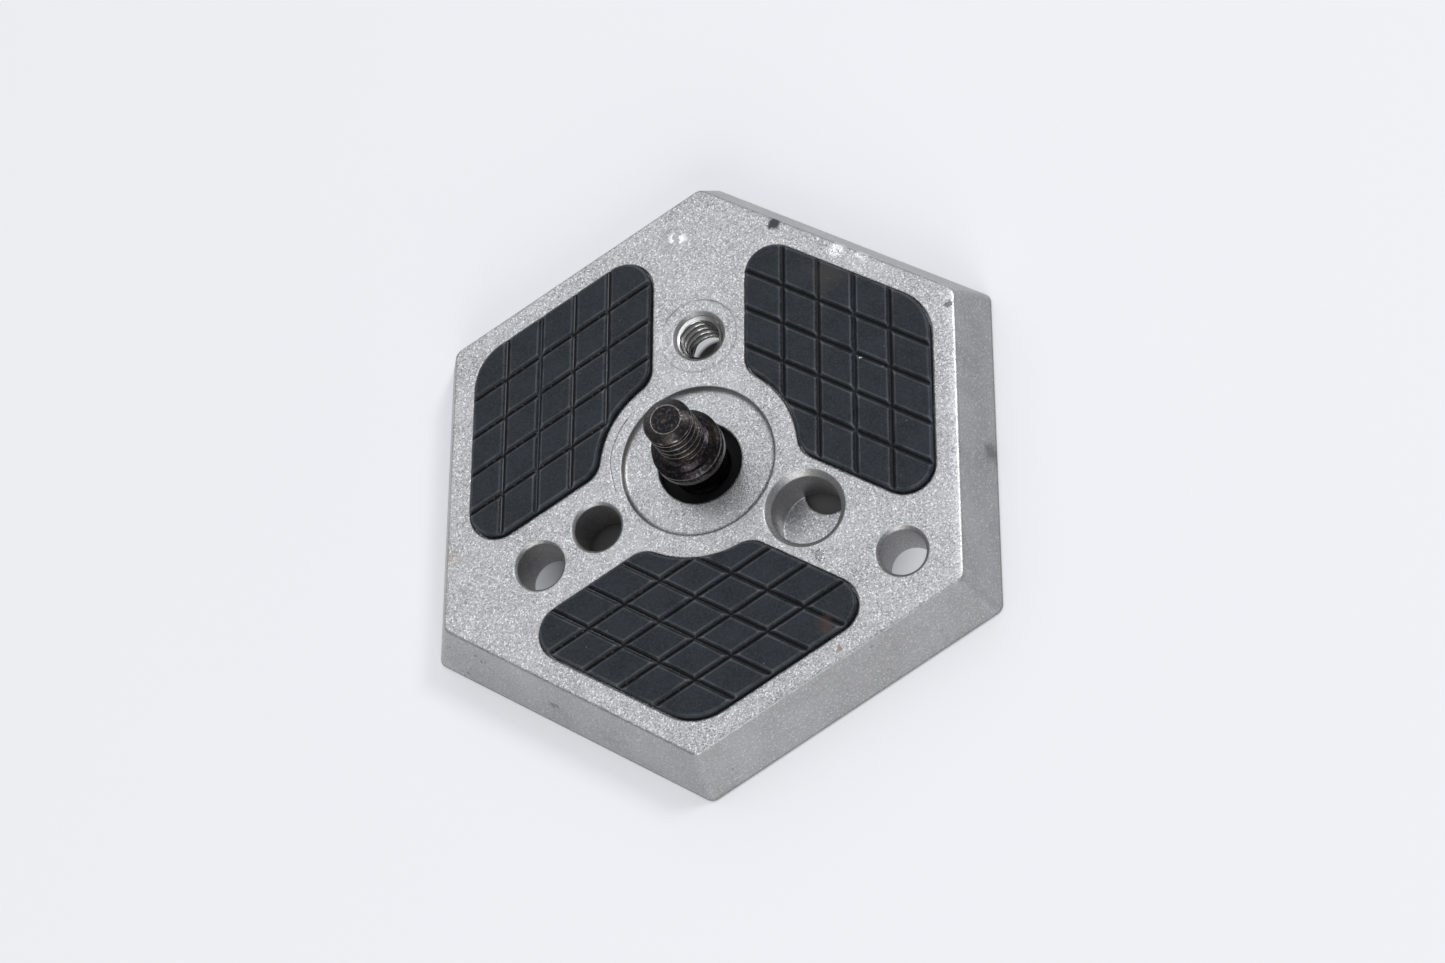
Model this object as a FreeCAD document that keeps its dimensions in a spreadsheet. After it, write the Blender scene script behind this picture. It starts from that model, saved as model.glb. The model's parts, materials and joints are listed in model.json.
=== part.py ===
import FreeCAD, Part
import math
import os

import Sketcher

V = FreeCAD.Vector

doc = FreeCAD.newDocument("hexagonal_release_plate")

# Driving sizes, in millimetres and degrees. Heights start at the underside rim.
SIZES = {
    # cast plate: a low six-sided frustum with its corners at 30, 90, 150 ... degrees
    "bottom_flats": 76.0,
    "top_flats": 68.9,
    "plate_thickness": 7.8,
    "corner_round": 1.6,
    "rim_round": 0.5,
    "foot_chamfer": 0.3,
    "skirt_wall": 3.0,
    "web_thickness": 3.2,
    # three rubber pads in shallow pockets, between three bare arms
    "pad_margin": 3.2,
    "arm_width": 13.2,
    "pad_nose_round": 7.0,
    "pad_side_round": 3.7,
    "pad_shoulder_round": 3.2,
    "pad_pocket_depth": 1.0,
    "pad_rise": 0.9,
    "pad_gap": 0.25,
    "pad_edge_chamfer": 0.25,
    "groove_width": 0.9,
    "groove_depth": 0.5,
    "groove_pitch": 4.75,
    "groove_count": 4,
    "left_grid_shift": 0.6,
    # middle of the plate: round recess, screw hole, retaining washer; the lands are
    # the bare rings left between the recess and what lies outside it
    "recess_radius": 10.45,
    "pad_land": 3.25,
    "tapped_land": 2.2,
    "near_land": 2.05,
    "pocket_land": 0.65,
    "recess_depth": 1.0,
    "recess_round": 0.8,
    "hole_radius": 5.7,
    "washer_radius": 7.5,
    "washer_thickness": 1.0,
    "seat_gap": 0.05,
    "running_gap": 0.05,
    # ribs and bosses under the web
    "rib_width": 2.2,
    "rib_foot": 1.6,
    "hub_wall": 1.5,
    "hub_foot": 1.2,
    "well_gap": 0.5,
    "boss_wall": 1.5,
    "boss_foot": 0.8,
    # threaded hole in the upper arm
    "tapped_radius": 3.175,
    "tapped_face_radius": 5.25,
    "tapped_face_depth": 0.15,
    "tapped_chamfer": 0.5,
    # two plain holes in the lower left arm
    "plain_spacing": 9.0,
    "plain_radius": 3.2,
    "plain_chamfer": 0.4,
    # blind pocket with an opening at one side of its floor, and a plain hole, in the
    # lower right arm
    "pocket_radius": 4.6,
    "pocket_depth": 6.6,
    "pocket_floor": 1.0,
    "pocket_chamfer": 0.8,
    "floor_opening_radius": 3.2,
    "floor_opening_shift": 4.9,
    "floor_opening_angle": 72.0,
    "outer_reach": 31.0,
    "outer_radius": 3.0,
    "outer_chamfer": 0.5,
    # camera screw
    "thread_radius": 3.175,
    "thread_length": 7.0,
    "tip_radius": 2.05,
    "tip_chamfer": 0.75,
    "tip_dish": 0.15,
    "collar_radius": 4.7625,
    "collar_length": 3.8,
    "collar_lift": 2.8,
    "lead_land": 0.25,
    "lead_length": 1.1,
    "collar_chamfer": 0.3,
    "neck_radius": 3.9,
    "flange_radius": 9.2,
    "flange_thickness": 1.3,
    "flange_gap": 0.1,
    "lug_gap": 0.5,
    "lug_length": 5.6,
    "lug_foot": 0.35,
    # folding handle, stamped from strip, with round trunnions
    "trunnion_radius": 1.0,
    "trunnion_grip": 2.3,
    "handle_axis_offset": 4.0,
    "handle_axis_height": 1.9,
    "handle_side_inset": 2.2,
    "handle_end_inset": 0.2,
    "handle_heel": 0.8,
    "strip_width": 2.0,
    "strip_thickness": 1.8,
    "strip_chamfer": 0.25,
}

sheet = doc.addObject("Spreadsheet::Sheet", "Sizes")
for row, (alias, value) in enumerate(SIZES.items(), start=1):
    sheet.set(f"A{row}", alias)
    sheet.set(f"B{row}", str(value))
    sheet.setAlias(f"B{row}", alias)
doc.recompute()

# Heights and distances that follow from the sizes, as expressions.
ROOF = "(Sizes.plate_thickness - Sizes.web_thickness)"
TOP = "Sizes.plate_thickness"
SIDE_SLOPE = "atan((Sizes.bottom_flats - Sizes.top_flats) / 2 / Sizes.plate_thickness)"
CAVITY_FLATS = "(Sizes.bottom_flats - 2 * Sizes.skirt_wall)"
PAD_OUTER = "(Sizes.top_flats / 2 - Sizes.pad_margin)"
PAD_INNER = "(Sizes.arm_width / 2)"
WASHER_TOP = f"({ROOF} + Sizes.washer_thickness)"
FLANGE_TOP = f"({ROOF} - Sizes.flange_gap)"
FLANGE_FOOT = f"({FLANGE_TOP} - Sizes.flange_thickness)"
COLLAR_FOOT = f"({TOP} + Sizes.collar_lift)"
COLLAR_TOP = f"({COLLAR_FOOT} + Sizes.collar_length)"
SCREW_TOP = f"({COLLAR_TOP} + Sizes.thread_length)"
WELL_RADIUS = "(Sizes.flange_radius + Sizes.well_gap)"
HANDLE_SIDE = "(Sizes.flange_radius - Sizes.handle_side_inset)"
HANDLE_INNER = f"({HANDLE_SIDE} - Sizes.strip_width)"
HANDLE_BOW = f"({HANDLE_SIDE} - Sizes.flange_radius + Sizes.handle_end_inset)"
PAD_ARC = "(Sizes.recess_radius + Sizes.pad_land)"
TAPPED_REACH = "(Sizes.recess_radius + Sizes.tapped_land + Sizes.tapped_face_radius)"
NEAR_REACH = "(Sizes.recess_radius + Sizes.near_land + Sizes.plain_radius)"
FAR_REACH = f"({NEAR_REACH} + Sizes.plain_spacing)"
POCKET_REACH = ("(Sizes.recess_radius + Sizes.pocket_land + Sizes.pocket_chamfer"
                " + Sizes.pocket_radius)")
RECESS_ROUND = "min(Sizes.recess_round; 0.9 * Sizes.recess_depth)"
PAD_ANGLES = {"lower": 270, "right": 30, "left": 150}
TAPPED_ARM, PLAIN_ARM, POCKET_ARM = 90, 210, 330

# How close an edge lies to its worked-out place for it to be picked, in millimetres.
NEAR = 0.01


def size(expression):
    """Value of an expression over the sheet, for starting positions and edge searches."""
    return float(sheet.evalExpression(expression.replace("Sizes.", "")))


def new_body(name):
    body = doc.addObject("PartDesign::Body", name)
    body.Label = name
    return body


def origin_plane(body, role):
    return next(item for item in body.Origin.OriginFeatures if item.Role == role)


def new_sketch(body, name, plane, lift=None, turn=None):
    sketch = body.newObject("Sketcher::SketchObject", name)
    sketch.AttachmentSupport = [(origin_plane(body, plane), "")]
    sketch.MapMode = "FlatFace"
    if turn is not None:
        sketch.AttachmentOffset = FreeCAD.Placement(V(0, 0, 0), turn)
    if lift is not None:
        sketch.setExpression("AttachmentOffset.Base.z", lift)
    return sketch


def pin_point(sketch, geometry, end, x, y):
    """Ties a point of a sketch to two expressions, or to an axis where one is None."""
    if x is None:
        sketch.addConstraint(Sketcher.Constraint("PointOnObject", geometry, end, -2))
    else:
        index = sketch.addConstraint(
            Sketcher.Constraint("DistanceX", -1, 1, geometry, end, size(x)))
        sketch.setExpression(f"Constraints[{index}]", x)
    if y is None:
        sketch.addConstraint(Sketcher.Constraint("PointOnObject", geometry, end, -1))
    else:
        index = sketch.addConstraint(
            Sketcher.Constraint("DistanceY", -1, 1, geometry, end, size(y)))
        sketch.setExpression(f"Constraints[{index}]", y)


def draw_polygon(sketch, corners):
    """Closed outline of straight lines through corners given as (x, y) expressions."""
    points = [V(size(x) if x else 0, size(y) if y else 0, 0) for x, y in corners]
    count = len(points)
    lines = [sketch.addGeometry(Part.LineSegment(points[i], points[(i + 1) % count]), False)
             for i in range(count)]
    for i in range(count):
        sketch.addConstraint(
            Sketcher.Constraint("Coincident", lines[i], 2, lines[(i + 1) % count], 1))
    for line, (x, y) in zip(lines, corners):
        pin_point(sketch, line, 1, x, y)


def draw_circle(sketch, radius, x=None, y=None):
    centre = V(size(x) if x else 0, size(y) if y else 0, 0)
    circle = sketch.addGeometry(Part.Circle(centre, V(0, 0, 1), size(radius)), False)
    pin_point(sketch, circle, 3, x, y)
    index = sketch.addConstraint(Sketcher.Constraint("Radius", circle, size(radius)))
    sketch.setExpression(f"Constraints[{index}]", radius)


def draw_hexagon(sketch, flats):
    """Regular six-sided outline about the origin, two sides upright, flats wide."""
    half, corner = f"({flats} / 2)", f"({flats} / sqrt(3))"
    draw_polygon(sketch, [
        (half, f"{corner} / 2"), (None, corner), (f"-{half}", f"{corner} / 2"),
        (f"-{half}", f"-{corner} / 2"), (None, f"-{corner}"), (half, f"-{corner} / 2"),
    ])


def on_arm(reach, angle):
    """Point on an arm's centre line as (x, y) expressions."""
    x = None if angle in (90, 270) else f"{reach} * cos({angle} deg)"
    return x, f"{reach} * sin({angle} deg)"


def add_pad(body, name, sketch, length):
    pad = body.newObject("PartDesign::Pad", name)
    pad.Profile = sketch
    pad.setExpression("Length", length)
    doc.recompute()
    return pad


def cut_pocket(body, name, sketch, length, upward=False, both=False, taper=None):
    """Pocket from the sketch, downward unless upward; it must take material away."""
    before = body.Shape.Volume
    pocket = body.newObject("PartDesign::Pocket", name)
    pocket.Profile = sketch
    pocket.setExpression("Length", length)
    pocket.Reversed = upward
    pocket.Midplane = both
    if taper is not None:
        pocket.setExpression("TaperAngle", taper)
    doc.recompute()
    if body.Shape.Volume > before - 1e-6:
        raise RuntimeError(f"{name} cuts nothing")
    return pocket


def revolve(body, name, sketch):
    turned = body.newObject("PartDesign::Revolution", name)
    turned.Profile = sketch
    turned.ReferenceAxis = (sketch, ["V_Axis"])
    turned.Angle = 360
    doc.recompute()
    return turned


def pick_edges(shape, test):
    return [f"Edge{i}" for i, edge in enumerate(shape.Edges, start=1) if test(edge)]


def dress(body, kind, name, base, edges, radius):
    """Fillet or chamfer on named edges of the feature before it."""
    if not edges:
        raise RuntimeError(f"{name} found no edges")
    feature = body.newObject(f"PartDesign::{kind}", name)
    feature.Base = (base, edges)
    feature.setExpression("Radius" if kind == "Fillet" else "Size", radius)
    doc.recompute()
    if {"Invalid", "Error"} & set(feature.State):
        raise RuntimeError(f"{name} failed: {feature.getStatusString()}")
    return feature


def is_ring(edge, x, y, z, radius):
    curve = edge.Curve
    return (isinstance(curve, Part.Circle) and abs(curve.Radius - radius) < NEAR
            and (curve.Center - V(x, y, z)).Length < NEAR)


def build_rhombus(name, angle, grow, foot, height, shift=""):
    """Upright block with a pad's outline, its long axis turned to angle.

    grow widens the outline all round, so that pad and pocket share one form.
    """
    body = new_body(name)
    outer, inner = f"({PAD_OUTER} + {grow})", f"({PAD_INNER} - {grow})"
    middle, half = f"(({outer} + {inner}) / sqrt(3))", f"({outer} - {inner})"
    outline = new_sketch(body, f"{name}_outline", "XY_Plane", lift=foot)
    draw_polygon(outline, [
        (f"{outer} * 2 / sqrt(3)", None), (middle, half),
        (f"{inner} * 2 / sqrt(3)", None), (middle, f"-{half}"),
    ])
    add_pad(body, f"{name}_block", outline, height)
    arc = new_sketch(body, f"{name}_arc", "XY_Plane", lift=foot)
    draw_circle(arc, f"({PAD_ARC} - {grow})")
    block = cut_pocket(body, f"{name}_arc_cut", arc, height, upward=True)

    nose = size(f"{outer} * 2 / sqrt(3)")
    side_x, side_y = size(middle), size(half)
    arc_radius = size(f"({PAD_ARC} - {grow})")

    def upright(edge):
        low, high = edge.BoundBox.ZMin, edge.BoundBox.ZMax
        return high - low > 0.5 * size(height) and edge.BoundBox.XLength < NEAR

    corners = {
        "nose": (f"(Sizes.pad_nose_round + {grow})",
                 lambda e: upright(e) and abs(e.CenterOfMass.x - nose) < NEAR),
        "side": (f"(Sizes.pad_side_round + {grow})",
                 lambda e: upright(e) and abs(e.CenterOfMass.x - side_x) < NEAR
                 and abs(abs(e.CenterOfMass.y) - side_y) < NEAR),
        "shoulder": (f"(Sizes.pad_shoulder_round + {grow})",
                     lambda e: upright(e) and abs(
                         math.hypot(e.CenterOfMass.x, e.CenterOfMass.y) - arc_radius) < NEAR),
    }
    for corner, (radius, test) in corners.items():
        edges = pick_edges(block.Shape, test)
        block = dress(body, "Fillet", f"{name}_{corner}", block, edges, radius)
    body.Placement = FreeCAD.Placement(V(0, 0, 0), FreeCAD.Rotation(V(0, 0, 1), angle))
    return body, block


def cut_grooves(body, name, turn, shift):
    """One set of parallel V grooves across a pad, its lines at turn to the long axis."""
    across = FreeCAD.Rotation(V(0, 1, 0), turn)
    section = new_sketch(body, f"{name}_section", "XZ_Plane", turn=across)
    pad_top = f"({TOP} + Sizes.pad_rise)"
    middle = f"(({PAD_OUTER} + {PAD_INNER}) / 2)"
    first = f"({middle} - Sizes.groove_pitch * (Sizes.groove_count - 1) / 2 + {shift})"
    lip = "(Sizes.groove_width / 2 * 1.2)"
    rise = "(Sizes.groove_depth * 0.2)"
    draw_polygon(section, [
        (f"{first} - {lip}", f"{pad_top} + {rise}"),
        (first, f"{pad_top} - Sizes.groove_depth"),
        (f"{first} + {lip}", f"{pad_top} + {rise}"),
    ])
    groove = cut_pocket(body, f"{name}_first", section, "4 * Sizes.top_flats", both=True)
    row = body.newObject("PartDesign::LinearPattern", f"{name}_row")
    row.Originals = [groove]
    row.Direction = (section, ["H_Axis"])
    row.setExpression("Length", "Sizes.groove_pitch * (Sizes.groove_count - 1)")
    row.setExpression("Occurrences", "Sizes.groove_count")
    body.Tip = row
    doc.recompute()
    return row


def build_rubber_pad(side, angle):
    name = f"{side}_rubber_pad"
    foot = f"({TOP} - Sizes.pad_pocket_depth)"
    height = "(Sizes.pad_pocket_depth + Sizes.pad_rise)"
    body, block = build_rhombus(name, angle, "0", foot, height)
    pad_top = size(f"({TOP} + Sizes.pad_rise)")
    edges = pick_edges(block.Shape, lambda e: e.CenterOfMass.z > pad_top - NEAR)
    dress(body, "Chamfer", f"{name}_edge", block, edges, "Sizes.pad_edge_chamfer")
    shift = "Sizes.left_grid_shift" if side == "left" else "0"
    cut_grooves(body, f"{name}_groove_a", 30, shift)
    cut_grooves(body, f"{name}_groove_b", -30, "0")
    return body


def build_casting():
    body = new_body("plate_body")

    # outer form and hollow underside, both narrowing upward at the same slope
    foot = new_sketch(body, "plate_foot", "XY_Plane")
    draw_hexagon(foot, "Sizes.bottom_flats")
    block = add_pad(body, "plate_block", foot, TOP)
    sides = [f"Face{i}" for i, face in enumerate(block.Shape.Faces, start=1)
             if face.BoundBox.ZLength > 0.5 * size(TOP)]
    frustum = body.newObject("PartDesign::Draft", "plate_frustum")
    frustum.Base = (block, sides)
    frustum.NeutralPlane = (origin_plane(body, "XY_Plane"), [""])
    frustum.setExpression("Angle", SIDE_SLOPE)
    doc.recompute()
    sloping = pick_edges(frustum.Shape, lambda e: e.BoundBox.ZLength > 0.5 * size(TOP))
    corners = dress(body, "Fillet", "plate_corners", frustum, sloping, "Sizes.corner_round")
    top_height = size(TOP)
    rim = pick_edges(corners.Shape, lambda e: e.CenterOfMass.z > top_height - NEAR)
    rounded = dress(body, "Fillet", "plate_rim", corners, rim, "Sizes.rim_round")
    base = pick_edges(rounded.Shape, lambda e: e.CenterOfMass.z < NEAR)
    dress(body, "Chamfer", "plate_foot_edge", rounded, base, "Sizes.foot_chamfer")

    mouth = new_sketch(body, "cavity_mouth", "XY_Plane")
    draw_hexagon(mouth, CAVITY_FLATS)
    cut_pocket(body, "cavity", mouth, ROOF, upward=True, taper=f"-1 * {SIDE_SLOPE}")

    # six ribs from the hub to the corners
    rib_sketch = new_sketch(body, "rib_outline", "XY_Plane", lift="Sizes.rib_foot")
    half = "(Sizes.rib_width / 2)"
    inner, outer = WELL_RADIUS, f"({CAVITY_FLATS} / sqrt(3))"
    draw_polygon(rib_sketch, [(half, inner), (half, outer), (f"-{half}", outer),
                              (f"-{half}", inner)])
    rib = add_pad(body, "rib", rib_sketch, f"{ROOF} - Sizes.rib_foot + Sizes.seat_gap")
    ribs = body.newObject("PartDesign::PolarPattern", "ribs")
    ribs.Originals = [rib]
    ribs.Axis = (rib_sketch, ["N_Axis"])
    ribs.Angle = 360
    ribs.Occurrences = 6
    body.Tip = ribs
    doc.recompute()

    # hub ring and bosses, all reaching up into the web
    def add_boss(name, radius, foot_height, centre=(None, None)):
        sketch = new_sketch(body, f"{name}_outline", "XY_Plane", lift=foot_height)
        draw_circle(sketch, radius, *centre)
        add_pad(body, name, sketch, f"{ROOF} - {foot_height} + Sizes.seat_gap")

    tapped = on_arm(TAPPED_REACH, TAPPED_ARM)
    near = on_arm(NEAR_REACH, PLAIN_ARM)
    far = on_arm(FAR_REACH, PLAIN_ARM)
    blind = on_arm(POCKET_REACH, POCKET_ARM)
    outer_hole = on_arm("Sizes.outer_reach", POCKET_ARM)
    blind_foot = f"({TOP} - Sizes.pocket_depth - Sizes.pocket_floor)"
    add_boss("hub", f"({WELL_RADIUS} + Sizes.hub_wall)", "Sizes.hub_foot")
    add_boss("tapped_boss", "(Sizes.tapped_radius + Sizes.boss_wall)", "Sizes.boss_foot", tapped)
    add_boss("near_boss", "(Sizes.plain_radius + Sizes.boss_wall)", "Sizes.boss_foot", near)
    add_boss("far_boss", "(Sizes.plain_radius + Sizes.boss_wall)", "Sizes.boss_foot", far)
    add_boss("outer_boss", "(Sizes.outer_radius + Sizes.boss_wall)", "Sizes.boss_foot", outer_hole)
    add_boss("pocket_boss", "(Sizes.pocket_radius + Sizes.boss_wall)", blind_foot, blind)

    # well for the screw's head, recess for the washer
    def bore(name, radius, start, depth, centre=(None, None), upward=False):
        sketch = new_sketch(body, f"{name}_circle", "XY_Plane", lift=start)
        draw_circle(sketch, radius, *centre)
        return cut_pocket(body, name, sketch, depth, upward=upward)

    bore("well", WELL_RADIUS, "0", ROOF, upward=True)
    bore("washer_recess", "(Sizes.washer_radius + Sizes.seat_gap)", ROOF,
         "Sizes.washer_thickness", upward=True)

    # openings in the top face
    bore("middle_recess", "Sizes.recess_radius", TOP, "Sizes.recess_depth")
    bore("screw_hole", "Sizes.hole_radius", TOP, TOP)
    bore("tapped_face", "Sizes.tapped_face_radius", TOP, "Sizes.tapped_face_depth", tapped)
    bore("tapped_hole", "Sizes.tapped_radius", TOP, TOP, tapped)
    bore("near_hole", "Sizes.plain_radius", TOP, TOP, near)
    bore("far_hole", "Sizes.plain_radius", TOP, TOP, far)
    bore("outer_hole", "Sizes.outer_radius", TOP, TOP, outer_hole)
    bore("blind_pocket", "Sizes.pocket_radius", TOP, "Sizes.pocket_depth", blind)
    opening = (f"{blind[0]} + Sizes.floor_opening_shift * cos(Sizes.floor_opening_angle * 1 deg)",
               f"{blind[1]} + Sizes.floor_opening_shift * sin(Sizes.floor_opening_angle * 1 deg)")
    last = bore("floor_opening", "Sizes.floor_opening_radius",
                f"({TOP} - Sizes.pocket_depth)", TOP, opening)

    # chamfered mouths, and the round that the mould leaves at the foot of the recess
    def dress_ring(base, kind, name, centre, height, radius, amount):
        x, y = (size(c) if c else 0 for c in centre)
        edges = pick_edges(base.Shape,
                           lambda e: is_ring(e, x, y, size(height), size(radius)))
        return dress(body, kind, name, base, edges, amount)

    last = dress_ring(last, "Chamfer", "tapped_mouth", tapped,
                      f"({TOP} - Sizes.tapped_face_depth)", "Sizes.tapped_radius",
                      "Sizes.tapped_chamfer")
    last = dress_ring(last, "Chamfer", "near_mouth", near, TOP, "Sizes.plain_radius",
                      "Sizes.plain_chamfer")
    last = dress_ring(last, "Chamfer", "far_mouth", far, TOP, "Sizes.plain_radius",
                      "Sizes.plain_chamfer")
    last = dress_ring(last, "Chamfer", "outer_mouth", outer_hole, TOP, "Sizes.outer_radius",
                      "Sizes.outer_chamfer")
    last = dress_ring(last, "Chamfer", "pocket_mouth", blind, TOP, "Sizes.pocket_radius",
                      "Sizes.pocket_chamfer")
    dress_ring(last, "Fillet", "recess_foot", (None, None), f"({TOP} - Sizes.recess_depth)",
               "Sizes.recess_radius", RECESS_ROUND)

    # pockets for the pads
    pockets = []
    for side, angle in PAD_ANGLES.items():
        pocket, _ = build_rhombus(f"{side}_pad_pocket", angle, "Sizes.pad_gap",
                                  f"({TOP} - Sizes.pad_pocket_depth)", "2 * Sizes.pad_pocket_depth")
        pockets.append(pocket)
    tools = doc.addObject("Part::MultiFuse", "pad_pockets")
    tools.Shapes = pockets
    casting = doc.addObject("Part::Cut", "plate_casting")
    casting.Label = "plate_casting"
    casting.Base = body
    casting.Tool = tools
    doc.recompute()
    return casting


def build_washer():
    body = new_body("retaining_washer")
    section = new_sketch(body, "washer_section", "XZ_Plane")
    bore_radius = "(Sizes.neck_radius + Sizes.running_gap)"
    draw_polygon(section, [
        (bore_radius, ROOF), ("Sizes.washer_radius", ROOF),
        ("Sizes.washer_radius", WASHER_TOP), (bore_radius, WASHER_TOP),
    ])
    revolve(body, "washer_ring", section)
    return body


def build_screw():
    body = new_body("camera_screw")
    section = new_sketch(body, "screw_section", "XZ_Plane")
    draw_polygon(section, [
        (None, FLANGE_FOOT),
        ("Sizes.flange_radius", FLANGE_FOOT),
        ("Sizes.flange_radius", FLANGE_TOP),
        ("Sizes.neck_radius", FLANGE_TOP),
        ("Sizes.neck_radius", f"{COLLAR_FOOT}"),
        ("(Sizes.collar_radius - Sizes.collar_chamfer)", COLLAR_FOOT),
        ("Sizes.collar_radius", f"{COLLAR_FOOT} + Sizes.collar_chamfer"),
        ("Sizes.collar_radius", f"{COLLAR_TOP} - Sizes.lead_length"),
        ("(Sizes.thread_radius + Sizes.lead_land)", COLLAR_TOP),
        ("Sizes.thread_radius", COLLAR_TOP),
        ("Sizes.thread_radius", f"{SCREW_TOP} - Sizes.tip_chamfer"),
        ("Sizes.tip_radius", SCREW_TOP),
        (None, f"{SCREW_TOP} - Sizes.tip_dish"),
    ])
    revolve(body, "screw_turned", section)

    lug_outline = new_sketch(body, "lug_outline", "XY_Plane", lift="Sizes.lug_foot")
    half = f"({HANDLE_INNER} - Sizes.lug_gap)"
    front = "(Sizes.handle_axis_offset - Sizes.lug_length / 2)"
    back = "(Sizes.handle_axis_offset + Sizes.lug_length / 2)"
    draw_polygon(lug_outline, [(half, front), (half, back), (f"-{half}", back),
                               (f"-{half}", front)])
    add_pad(body, "lug", lug_outline, f"{FLANGE_FOOT} - Sizes.lug_foot + Sizes.seat_gap")
    cross = new_sketch(body, "cross_hole_circle", "YZ_Plane")
    draw_circle(cross, "(Sizes.trunnion_radius + Sizes.running_gap)", "Sizes.handle_axis_offset",
                "Sizes.handle_axis_height")
    cut_pocket(body, "cross_hole", cross, "2 * Sizes.flange_radius", both=True)
    return body


def build_handle():
    """D-shaped handle folded flat, its trunnions reaching into the screw's lug."""
    body = new_body("folding_handle")
    strip = new_sketch(body, "handle_outline", "XY_Plane",
                       lift="Sizes.handle_axis_height - Sizes.strip_thickness / 2")
    heel = "(Sizes.handle_axis_offset + Sizes.handle_heel)"
    top, low = size(heel), size(HANDLE_BOW)
    legs = []
    for radius in (HANDLE_SIDE, HANDLE_INNER):
        wide = size(radius)
        right = strip.addGeometry(Part.LineSegment(V(wide, top, 0), V(wide, low, 0)), False)
        arch = strip.addGeometry(Part.ArcOfCircle(
            Part.Circle(V(0, low, 0), V(0, 0, 1), wide), math.pi, 2 * math.pi), False)
        left = strip.addGeometry(Part.LineSegment(V(-wide, low, 0), V(-wide, top, 0)), False)
        strip.addConstraint(Sketcher.Constraint("Tangent", right, 2, arch, 2))
        strip.addConstraint(Sketcher.Constraint("Tangent", arch, 1, left, 1))
        pin_point(strip, arch, 3, None, HANDLE_BOW)
        pin_point(strip, right, 1, radius, heel)
        pin_point(strip, left, 2, f"-{radius}", heel)
        legs.append((right, left))
    (outer_right, outer_left), (inner_right, inner_left) = legs
    for start, start_end, stop, stop_end in ((outer_left, 2, inner_left, 2),
                                             (inner_right, 1, outer_right, 1)):
        first, second = strip.getPoint(start, start_end), strip.getPoint(stop, stop_end)
        heel_edge = strip.addGeometry(Part.LineSegment(first, second), False)
        strip.addConstraint(Sketcher.Constraint("Coincident", heel_edge, 1, start, start_end))
        strip.addConstraint(Sketcher.Constraint("Coincident", heel_edge, 2, stop, stop_end))
    ring = add_pad(body, "handle_strip", strip, "Sizes.strip_thickness")
    flat = size("Sizes.handle_axis_height")
    edges = pick_edges(ring.Shape, lambda e: abs(e.CenterOfMass.z - flat) > NEAR)
    dress(body, "Chamfer", "handle_edges", ring, edges, "Sizes.strip_chamfer")
    for side, direction in (("right", 1), ("left", -1)):
        circle = new_sketch(body, f"{side}_trunnion_circle", "YZ_Plane",
                            lift=f"{direction} * Sizes.trunnion_grip")
        draw_circle(circle, "Sizes.trunnion_radius", "Sizes.handle_axis_offset",
                    "Sizes.handle_axis_height")
        trunnion = add_pad(body, f"{side}_trunnion", circle,
                           f"{HANDLE_INNER} - Sizes.trunnion_grip + Sizes.strip_chamfer")
        trunnion.Reversed = direction < 0
        doc.recompute()
    return body


pieces = [build_casting()]
for pad_side, pad_angle in PAD_ANGLES.items():
    pieces.append(build_rubber_pad(pad_side, pad_angle))
pieces += [build_washer(), build_screw(), build_handle()]
doc.recompute()

failed = [item.Name for item in doc.Objects if {"Invalid", "Error"} & set(item.State)]
if failed:
    raise RuntimeError(f"failed features: {failed}")
for piece in pieces:
    if piece.Shape.isNull() or not piece.Shape.isValid() or len(piece.Shape.Solids) != 1:
        raise RuntimeError(f"bad shape: {piece.Label}")

os.makedirs("parts", exist_ok=True)
for piece in pieces:
    piece.Shape.exportStep(f"parts/{piece.Label}.step")
    box = piece.Shape.BoundBox
    print(f"{piece.Label}: {piece.Shape.Volume / 1000:.3f} cm3, "
          f"x {box.XMin:.2f}..{box.XMax:.2f}, y {box.YMin:.2f}..{box.YMax:.2f}, "
          f"z {box.ZMin:.2f}..{box.ZMax:.2f}")
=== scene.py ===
import json
import math

import bmesh
import bpy
from mathutils import Matrix, Vector, noise


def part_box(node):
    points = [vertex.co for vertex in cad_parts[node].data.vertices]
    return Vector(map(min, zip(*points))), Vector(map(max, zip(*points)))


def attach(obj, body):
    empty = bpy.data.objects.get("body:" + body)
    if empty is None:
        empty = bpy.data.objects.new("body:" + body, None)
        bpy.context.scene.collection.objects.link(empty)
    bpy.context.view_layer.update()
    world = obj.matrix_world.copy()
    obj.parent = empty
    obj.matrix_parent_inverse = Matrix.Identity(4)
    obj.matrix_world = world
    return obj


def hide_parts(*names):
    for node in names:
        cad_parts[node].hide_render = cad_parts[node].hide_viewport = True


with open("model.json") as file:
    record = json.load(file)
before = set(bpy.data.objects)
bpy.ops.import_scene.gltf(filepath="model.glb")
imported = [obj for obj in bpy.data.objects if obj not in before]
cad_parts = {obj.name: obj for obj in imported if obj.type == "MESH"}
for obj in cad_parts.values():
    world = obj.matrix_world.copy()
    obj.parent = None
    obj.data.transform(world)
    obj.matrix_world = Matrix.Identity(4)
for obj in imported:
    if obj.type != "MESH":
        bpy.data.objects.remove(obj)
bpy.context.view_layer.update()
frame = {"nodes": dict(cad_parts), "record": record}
nodes = frame["nodes"]
mounts = {mount["name"]: mount for mount in frame["record"]["mounts"]}
mm = 0.001
print("frame loaded:", len(nodes), "nodes")


# Small helpers for node trees

def setInput(tree, socket, value):
    # another node's output is linked, anything else is a constant
    if isinstance(value, bpy.types.NodeSocket):
        tree.links.new(value, socket)
    elif socket.type == "RGBA":
        socket.default_value = (*value, 1.0)
    else:
        socket.default_value = value


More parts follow.
